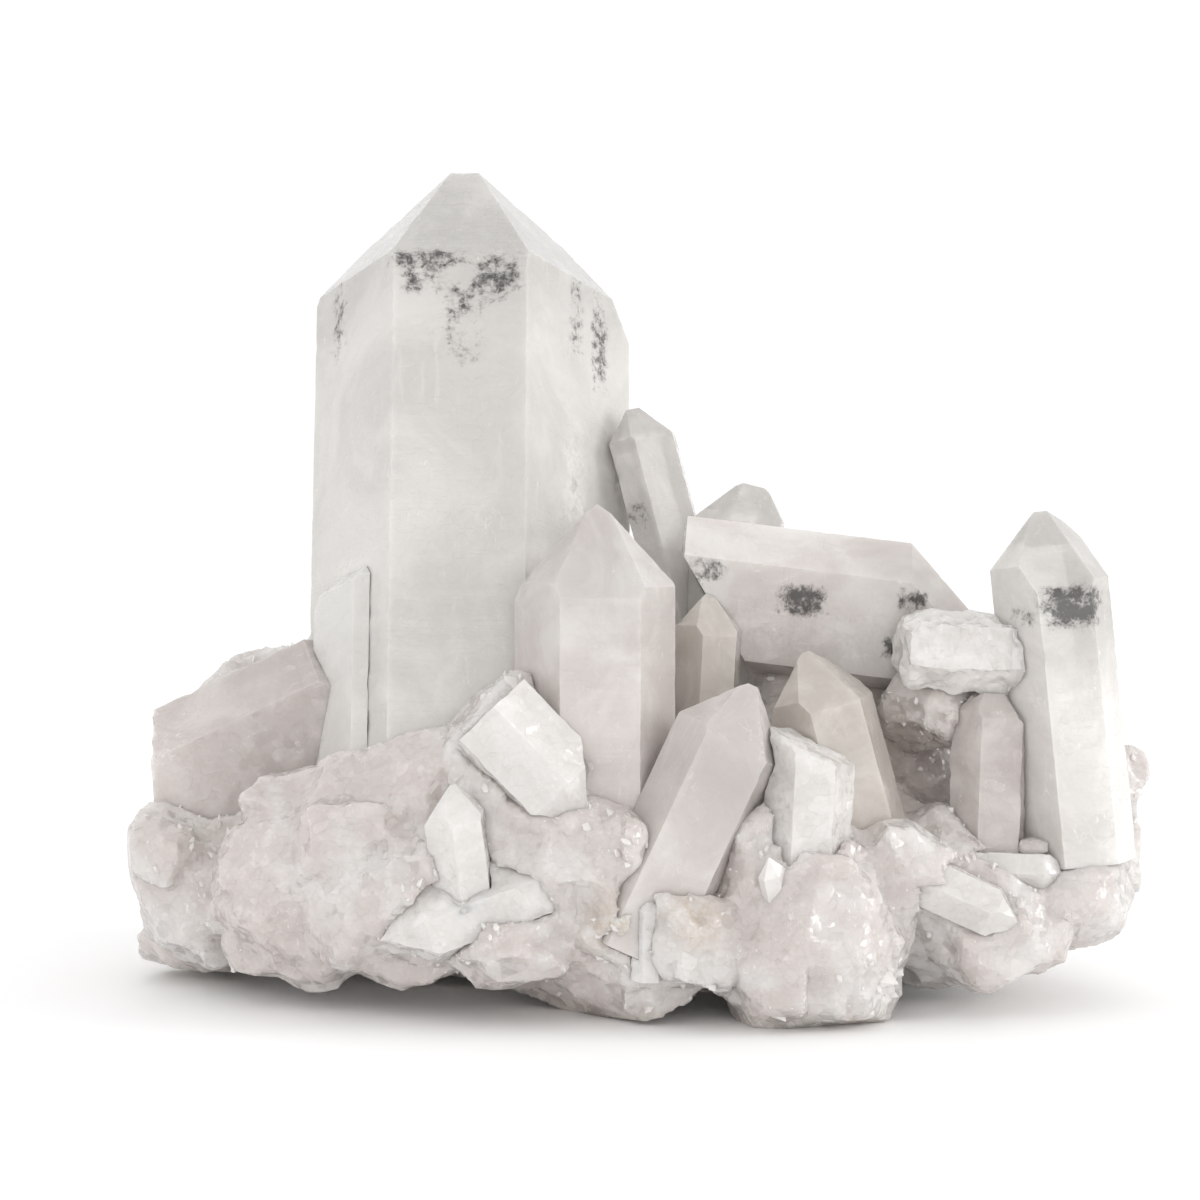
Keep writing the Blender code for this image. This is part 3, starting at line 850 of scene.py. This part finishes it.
@dataclass
class Druse:
    """Small quartz points over the broken mass, set by Geometry Nodes.

    Args:
        name: The piece's name.
        density: How many points a square metre gets where the mass is fully sugared.
        smallest: The size of the smallest point, in millimetres.
        largest: The size of the largest.
        sink: How deep a point sits in the mass, in its own sizes.
        seed: Which places are drawn.
        slimmest: The least width, depth and length of a point, in its own sizes.
        fattest: The most width, depth and length.
        stray: How far a point leans away from the skin's normal.
    """

    name: str = "druse_points"
    density: float = 110000.0
    smallest: float = 0.25
    largest: float = 0.95
    sink: float = 0.5
    seed: int = 11
    slimmest: tuple[float, float, float] = (0.5, 0.7, 0.6)
    fattest: tuple[float, float, float] = (1.0, 1.5, 1.6)
    stray: float = 0.8
    piece: Any = field(default=None, init=False)

    def point(self, tree: Any) -> Any:
        """Adds the nodes of one quartz point with six sides and a six-sided tip at each end.

        Args:
            tree: The node tree.

        Returns:
            The socket of its mesh.
        """
        sides = {"fill_type": "NONE"}
        column = add(tree, "GeometryNodeMeshCylinder", sides,
                     {"Vertices": 6, "Radius": 1.0, "Depth": 1.2}).outputs["Mesh"]
        tip = add(tree, "GeometryNodeMeshCone", sides,
                  {"Vertices": 6, "Radius Top": 0.0, "Radius Bottom": 1.0, "Depth": 0.8}).outputs["Mesh"]
        top = add(tree, "GeometryNodeTransform", None,
                  {"Geometry": tip, "Translation": (0.0, 0.0, 0.6)}).outputs[0]
        foot = add(tree, "GeometryNodeTransform", None,
                   {"Geometry": tip, "Translation": (0.0, 0.0, -0.6),
                    "Rotation": (math.pi, 0.0, 0.0)}).outputs[0]
        joined = add(tree, "GeometryNodeJoinGeometry")
        for part in (column, top, foot):
            tree.links.new(part, joined.inputs[0])
        return add(tree, "GeometryNodeMergeByDistance", None,
                   {"Geometry": joined.outputs[0], "Distance": 0.01}).outputs[0]

    def tree(self, material: Any) -> Any:
        """Builds the node tree that scatters the points.

        Args:
            material: The material of the points.

        Returns:
            The tree.
        """
        tree = bpy.data.node_groups.new(self.name, "GeometryNodeTree")
        sockets = {"Skin": "Geometry", "Density": "Float", "Smallest": "Float", "Largest": "Float",
                   "Sink": "Float", "Seed": "Int"}
        for name, kind in sockets.items():
            tree.interface.new_socket(name=name, in_out="INPUT", socket_type="NodeSocket" + kind)
        tree.interface.new_socket(name="Points", in_out="OUTPUT", socket_type="NodeSocketGeometry")
        given = add(tree, "NodeGroupInput").outputs
        where = add(tree, "GeometryNodeInputNamedAttribute", {"data_type": "FLOAT"},
                    {"Name": DRUSE}).outputs[0]
        cover = maths(tree, "MULTIPLY", where, given["Density"])
        spread = add(tree, "GeometryNodeDistributePointsOnFaces", {"distribute_method": "RANDOM"},
                     {"Mesh": given["Skin"], "Density": cover, "Seed": given["Seed"]})
        place = add(tree, "GeometryNodeInputPosition").outputs[0]
        flow = add(tree, "ShaderNodeTexNoise", None, {"Vector": place, "Scale": 60.0, "Detail": 1.0})
        stray = add(tree, "FunctionNodeRandomValue", {"data_type": "FLOAT_VECTOR"},
                    {"Min": (-self.stray,) * 3, "Max": (self.stray,) * 3, "Seed": 3}).outputs[0]
        centred = add(tree, "ShaderNodeVectorMath", {"operation": "SUBTRACT"},
                      {0: flow.outputs["Color"], 1: (0.5, 0.5, 0.5)}).outputs[0]
        swayed = add(tree, "ShaderNodeVectorMath", {"operation": "MULTIPLY_ADD"},
                     {0: centred, 1: (3.0, 3.0, 3.0), 2: stray}).outputs[0]
        aim = add(tree, "ShaderNodeVectorMath", {"operation": "ADD"},
                  {0: spread.outputs["Normal"], 1: swayed}).outputs[0]
        turn = add(tree, "FunctionNodeAlignRotationToVector", {"axis": "Z"}, {"Vector": aim}).outputs[0]
        share = add(tree, "FunctionNodeRandomValue", {"data_type": "FLOAT"},
                    {2: 0.0, 3: 1.0, "Seed": 5}).outputs[1]
        rare = maths(tree, "POWER", share, 3.0)
        size = add(tree, "ShaderNodeMapRange", None,
                   {"Value": rare, "To Min": given["Smallest"], "To Max": given["Largest"]}).outputs[0]
        shape = add(tree, "FunctionNodeRandomValue", {"data_type": "FLOAT_VECTOR"},
                    {"Min": self.slimmest, "Max": self.fattest, "Seed": 9}).outputs[0]
        scale = add(tree, "ShaderNodeVectorMath", {"operation": "SCALE"},
                    {0: shape, "Scale": size}).outputs[0]
        down = maths(tree, "MULTIPLY", size, given["Sink"])
        dip = add(tree, "ShaderNodeVectorMath", {"operation": "SCALE"},
                  {0: spread.outputs["Normal"], "Scale": maths(tree, "MULTIPLY", down, -1.0)}).outputs[0]
        sunk = add(tree, "GeometryNodeSetPosition", None,
                   {"Geometry": spread.outputs["Points"], "Offset": dip}).outputs[0]
        copies = add(tree, "GeometryNodeInstanceOnPoints", None,
                     {"Points": sunk, "Instance": self.point(tree), "Rotation": turn,
                      "Scale": scale}).outputs[0]
        real = add(tree, "GeometryNodeRealizeInstances", None, {"Geometry": copies}).outputs[0]
        dressed = add(tree, "GeometryNodeSetMaterial", None,
                      {"Geometry": real, "Material": material}).outputs[0]
        add(tree, "NodeGroupOutput", None, {"Points": dressed})
        return tree

    def build(self, skin: Any, material: Any, low: Vector, high: Vector) -> Any:
        """Grows the points and turns them into a plain mesh.

        Args:
            skin: The piece that they grow on.
            material: The material of the points.
            low: The lowest corner that a point may reach.
            high: The highest corner.

        Returns:
            The new piece.
        """
        self.piece = bpy.data.objects.new(self.name, skin.data.copy())
        bpy.context.scene.collection.objects.link(self.piece)
        modifier = self.piece.modifiers.new("druse", "NODES")
        modifier.node_group = self.tree(material)
        sizes = {"Density": self.density, "Smallest": self.smallest * MM,
                 "Largest": self.largest * MM, "Sink": self.sink, "Seed": self.seed}
        for item in modifier.node_group.interface.items_tree:
            if item.name in sizes:
                modifier[item.identifier] = sizes[item.name]
        graph = bpy.context.evaluated_depsgraph_get()
        mesh = bpy.data.meshes.new_from_object(self.piece.evaluated_get(graph))
        self.piece.modifiers.clear()
        self.piece.data = mesh
        work = bmesh.new()
        work.from_mesh(mesh)
        outside = [v for v in work.verts if any(not low[i] <= v.co[i] <= high[i] for i in range(3))]
        doomed = set()
        for vert in outside:
            todo = [vert]
            while todo:
                one = todo.pop()
                if one not in doomed:
                    doomed.add(one)
                    todo += [edge.other_vert(one) for edge in one.link_edges]
        bmesh.ops.delete(work, geom=list(doomed), context="VERTS")
        work.to_mesh(mesh)
        work.free()
        mesh.shade_flat()
        for extra in (GROWTH, DRUSE, *(mark.value for mark in Mark)):
            if extra in mesh.attributes:
                mesh.attributes.remove(mesh.attributes[extra])
        store(mesh, read(mesh, "co") / MM, {})
        return self.piece


@dataclass
class Studio:
    """A pale paper sweep, soft lamps and the camera, in metres; lens and sensor are in millimetres."""

    sweep_width: float = 4.0
    sweep_front: float = -1.6
    sweep_back: float = 1.1
    sweep_curve: float = 0.5
    sweep_top: float = 2.2
    paper: str = "#FFFFFF"
    fill: float = 0.95
    look_at: tuple[float, float, float] = (-0.00568, -0.00709, 0.0706)
    far: float = 0.6
    rise: float = math.radians(4)
    lens: float = 100.0
    sensor: float = 36.0

    def build_sweep(self) -> None:
        """Makes the floor, which curves up into the backdrop."""
        steps = 24
        profile = [(self.sweep_front, 0.0)]
        for index in range(steps + 1):
            turn = math.pi / 2 * index / steps
            profile.append((self.sweep_back + self.sweep_curve * math.sin(turn),
                            self.sweep_curve * (1 - math.cos(turn))))
        profile.append((self.sweep_back + self.sweep_curve, self.sweep_top))
        points = []
        for away, height in profile:
            points += [(-self.sweep_width / 2, away, height), (self.sweep_width / 2, away, height)]
        faces = [(2 * i, 2 * i + 1, 2 * i + 3, 2 * i + 2) for i in range(len(profile) - 1)]
        mesh = bpy.data.meshes.new("paper_sweep")
        mesh.from_pydata(points, [], faces)
        mesh.shade_smooth()
        sweep = bpy.data.objects.new("paper_sweep", mesh)
        bpy.context.scene.collection.objects.link(sweep)
        paper = bpy.data.materials.new("white_paper")
        paper.use_nodes = True
        shader = paper.node_tree.nodes["Principled BSDF"]
        shader.inputs["Base Color"].default_value = linearise(self.paper)
        shader.inputs["Roughness"].default_value = 0.95
        mesh.materials.append(paper)
        sweep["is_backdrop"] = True

    def build_lamp(self, name: str, place: tuple[float, float, float], size: float,
                   watts: float) -> None:
        """Adds one soft square lamp that points at the cluster.

        Args:
            name: Its name.
            place: Where it stands, in metres.
            size: The side of its square, in metres.
            watts: Its power.
        """
        lamp = bpy.data.lights.new(name, "AREA")
        lamp.size = size
        lamp.energy = watts
        holder = bpy.data.objects.new(name, lamp)
        holder.location = place
        aim = Vector(self.look_at) - Vector(place)
        holder.rotation_euler = aim.to_track_quat("-Z", "Y").to_euler()
        bpy.context.scene.collection.objects.link(holder)

    def build(self) -> None:
        """Sets up the floor, the lamps, the sky's soft fill and the camera."""
        self.build_sweep()
        self.build_lamp("lamp_right", (1.1, -0.15, 0.4), 0.4, 3.9)
        self.build_lamp("lamp_left", (-1.1, -0.2, 0.4), 0.4, 0.9)
        self.build_lamp("lamp_front", (0.15, -1.2, 0.25), 0.8, 2.4)
        self.build_lamp("lamp_back", (-0.2, 0.6, 1.0), 0.5, 0.6)
        scene = bpy.context.scene
        world = bpy.data.worlds.new("soft_room")
        world.use_nodes = True
        sky = next(n for n in world.node_tree.nodes if n.type == "BACKGROUND")
        sky.inputs["Color"].default_value = linearise("#FFFFFF")
        sky.inputs["Strength"].default_value = self.fill
        scene.world = world
        scene.view_settings.view_transform = "Standard"
        back = Vector((0.0, -math.cos(self.rise), math.sin(self.rise)))
        data = bpy.data.cameras.new("camera")
        data.lens = self.lens
        data.sensor_width = self.sensor
        camera = bpy.data.objects.new("camera", data)
        camera.location = Vector(self.look_at) + back * self.far
        camera.rotation_euler = (math.pi / 2 - self.rise, 0.0, 0.0)
        scene.collection.objects.link(camera)
        scene.camera = camera


FINISHES = {
    # Rock crystal: clear quartz with a glassy, faintly stepped skin.
    "clear": QuartzFinish("rock_crystal_grown", "#E3DFDB", "#EAE7E3", 0.44, 0.03, 20.0),
    # Veiled rock crystal: glassy outside, with fine milk all through it.
    "veiled": QuartzFinish("veiled_quartz_grown", "#D3D0CC", "#DCD9D5", 0.34, 0.04, 30.0, cracked=0.35),
    # The same quartz where a crystal is only a thin plate, so that little light is lost behind it; its
    # colours are painted lighter than the veiled quartz's: painted light against the shade in the gap
    # behind it.
    "plate": QuartzFinish("veiled_quartz_plate_grown", "#DAD7D3", "#E0DEDA", 0.1, 0.05, 30.0,
                          cracked=0.35, scatter=0.8),
    # Milk quartz: cloudy with tiny bubbles, which gives a soft pinkish white.
    "milky": QuartzFinish("milk_quartz_grown", "#D8D0CC", "#E1DDD9", 0.28, 0.06, 18.0),
    # Etched quartz: rough, bright faces.
    "frosted": QuartzFinish("etched_quartz_grown", "#E6E2DE", "#EEEBE8", 0.16, 0.14, 14.0, 0.1, 0.8,
                            rubble=0.3),
    # Dusky quartz: the same milk quartz, a little greyer, rosier and darker: its own rose tone, and
    # painted shade on crystals that lie away from the light.
    "dusky": QuartzFinish("dusky_quartz_grown", "#D3CAC6", "#DDD6D2", 0.22, 0.12, 16.0, cracked=0.7,
                          rubble=0.14),
    # Quartz that lies in the shade of its neighbours, painted a little darker and browner: painted shade.
    "shadowed": QuartzFinish("shaded_quartz_grown", "#D6CEC6", "#E0DAD3", 0.26, 0.07, 12.0),
    # Massive quartz: broken, sugary and full of veils.
    "massive": QuartzFinish("massive_quartz_broken", "#DBD2CE", "#E6E3E0", 0.14, 0.14, 18.0, 0.0, 1.0,
                            rubble=0.5),
    # Tiny points: clear and glittering.
    "sugar": QuartzFinish("druse_quartz_grown", "#E6E1DE", "#EEEBE8", 0.1, 0.08, 9.0, scatter=0.6),
}
STAINS = (
    Stain((46.0, -8.0, 46.0), 14.0, 0.35), Stain((41.0, -25.0, 57.0), 5.0, 1.0),
    Stain((-3.0, -52.0, 19.0), 6.0, 0.8), Stain((11.0, -52.0, 21.0), 5.0, 0.7),
    Stain((-76.0, -17.0, 35.0), 6.0, 0.6), Stain((1.0, -47.0, 44.0), 5.0, 0.6),
)
MAIN_LEAN = (0.0, 0.309, 0.951)
# The DARK patches paint dark marks: partly inclusions, partly painted reflections of dark surroundings.
CRYSTALS = (
    CrystalPiece("main_crystal", "veiled", Slot.CLEAR, MAIN_LEAN, 1.7, patches=(
        Patch(Mark.DARK, 23.0, -7.2, 2.0, 7.0, 0.85), Patch(Mark.DARK, 26.5, -8.0, 4.0, 4.4, 0.6),
        Patch(Mark.DARK, 26.5, 5.6, 5.0, 4.6, 0.75), Patch(Mark.DARK, 31.4, 0.0, 4.0, 4.4, 0.6),
        Patch(Mark.DARK, 40.0, -1.4, 4.4, 6.0, 0.35), Patch(Mark.DARK, 28.0, -24.5, 9.0, 1.6, 0.6),
        Patch(Mark.DARK, 29.0, 19.8, 9.0, 1.3, 0.5), Patch(Mark.DARK, 32.5, 24.0, 10.0, 1.8, 0.65),
        Patch(Mark.FROST_AND_HIGHLIGHT, 61.6, 19.6, 11.0, 2.2, 0.6), Patch(Mark.FROST_AND_HIGHLIGHT, 82.0, -21.0, 5.0, 4.0, 0.7))),
    CrystalPiece("centre_crystal", "milky", Slot.MILKY, (0.0, 0.05, 1.0)),
    CrystalPiece("right_crystal", "clear", Slot.CLEAR, (-0.10, 0.06, 0.98), 1.4, patches=(
        Patch(Mark.DARK, 16.8, 1.4, 4.2, 6.0, 1.0), Patch(Mark.DARK, 17.8, -7.0, 2.4, 2.4, 0.5),
        Patch(Mark.FROST_AND_HIGHLIGHT, 52.0, 7.0, 16.0, 5.0, 0.5), Patch(Mark.FROST_AND_HIGHLIGHT, 36.0, 2.0, 9.0, 5.0, 0.3))),
    CrystalPiece("leaning_crystal", "milky", Slot.MILKY, (0.9925, 0.0, -0.122), 1.4, patches=(
        Patch(Mark.DARK, 34.0, -1.6, 4.4, 3.2, 0.9), Patch(Mark.DARK, 52.0, -5.0, 4.0, 2.8, 0.7),
        Patch(Mark.DARK, 14.5, -4.0, 2.8, 2.6, 0.7), Patch(Mark.DARK, 17.0, 5.0, 1.8, 2.2, 0.9),
        Patch(Mark.FROST_AND_HIGHLIGHT, 36.0, 5.0, 16.0, 5.0, 0.4), Patch(Mark.FROST_AND_HIGHLIGHT, 18.0, 2.0, 9.0, 6.0, 0.3))),
    CrystalPiece("left_crystal", "dusky", Slot.SHADOWED, (0.905, 0.05, 0.42), 1.3,
                 break_side=(-0.995, -0.06, -0.05), rugged=0.3),
    CrystalPiece("rear_slender_crystal", "clear", Slot.CLEAR, (-0.25, 0.15, 0.95), 1.2, patches=(
        Patch(Mark.DARK, 20.0, -3.5, 3.0, 2.4, 0.6),)),
    CrystalPiece("under_crystal", "shadowed", Slot.SHADOWED, (-0.26, 0.05, 0.96)),
    CrystalPiece("front_right_crystal", "milky", Slot.MILKY, (0.42, 0.05, 0.90)),
    CrystalPiece("front_stub_crystal", "frosted", Slot.FROSTED, (0.05, 0.06, 1.0), 1.2, rugged=0.4),
    CrystalPiece("front_block_crystal", "frosted", Slot.FROSTED, (0.69, -0.10, -0.70), 1.1, rugged=0.25),
    CrystalPiece("cross_crystal", "frosted", Slot.FROSTED, (-0.985, -0.05, 0.05), 0.9, rugged=0.9),
    CrystalPiece("shadow_crystal", "shadowed", Slot.SHADOWED, (0.05, 0.05, 1.0)),
    CrystalPiece("cavity_crystal", "dusky", Slot.SHADOWED, (0.04, 0.08, 0.99), 1.3, rugged=0.3),
    CrystalPiece("small_rear_crystal", "clear", Slot.CLEAR, (0.22, 0.1, 0.97)),
    CrystalPiece("main_side_crystal", "plate", Slot.CLEAR, MAIN_LEAN, swell=0.38),
    CrystalPiece("small_front_crystal", "frosted", Slot.FROSTED, (-0.12, -0.08, 0.99), 1.0,
                 swell=0.35),
    # This crystal faces down and wears the brighter etched finish: partly etched quartz, partly painted
    # light.
    CrystalPiece("low_front_crystal", "frosted", Slot.CLEAR, (-0.92, -0.22, -0.30), 0.9, rugged=0.5),
    CrystalPiece("right_blade_crystal", "frosted", Slot.FROSTED, (0.99, -0.08, -0.03), 0.9),
    # This crystal faces down and wears the brighter etched finish: partly etched quartz, partly painted
    # light.
    CrystalPiece("lower_blade_crystal", "frosted", Slot.MILKY, (0.88, -0.20, -0.38), 0.9),
    CrystalPiece("front_chip_crystal", "frosted", Slot.CLEAR, (0.03, -0.05, 1.0), 0.8, swell=0.3),
    CrystalPiece("back_left_crystal", "milky", Slot.MILKY, (-0.20, 0.42, 0.88)),
    CrystalPiece("back_centre_crystal", "clear", Slot.CLEAR, (0.10, 0.40, 0.91)),
    CrystalPiece("back_right_crystal", "milky", Slot.MILKY, (0.16, 0.34, 0.92)),
    CrystalPiece("back_small_crystal", "clear", Slot.CLEAR, (0.34, 0.34, 0.87)),
)


def settle(piece: Any, slot: Slot, *nodes: str) -> None:
    """Ties a finished piece to the part.

    Args:
        piece: The piece.
        slot: The record's slot of its finish; not used.
        nodes: The CAD nodes that it stands for.
    """
    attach(piece, "root")
    if nodes:
        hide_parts(*nodes)
    LOG.info("%s: %d faces", piece.name, len(piece.data.polygons))


def main() -> None:
    """Builds the studio and every piece of the cluster."""
    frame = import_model()
    cad_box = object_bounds()
    nodes = frame["nodes"]
    Studio().build()
    materials = {name: finish.material() for name, finish in FINISHES.items()}
    for crystal in CRYSTALS:
        crystal.build(nodes[crystal.node])
        crystal.dress(materials)
        settle(crystal.piece, crystal.slot, crystal.node)
    mass = BrokenMass()
    mass.build(nodes[mass.node], [nodes[crystal.node] for crystal in CRYSTALS])
    mass.dress(materials)
    settle(mass.piece, Slot.BASE, mass.node)
    blades = Druse("druse_blades", 6000.0, 1.0, 2.6, 1.1, 23, (0.45, 0.7, 1.0), (0.9, 1.3, 2.0), 0.6)
    for druse in (Druse(), blades):
        druse.build(mass.piece, materials["sugar"], *cad_box)
        settle(druse.piece, Slot.BASE)


if __name__ == "__main__":
    logging.basicConfig(level=logging.INFO, format="%(message)s")
    main()
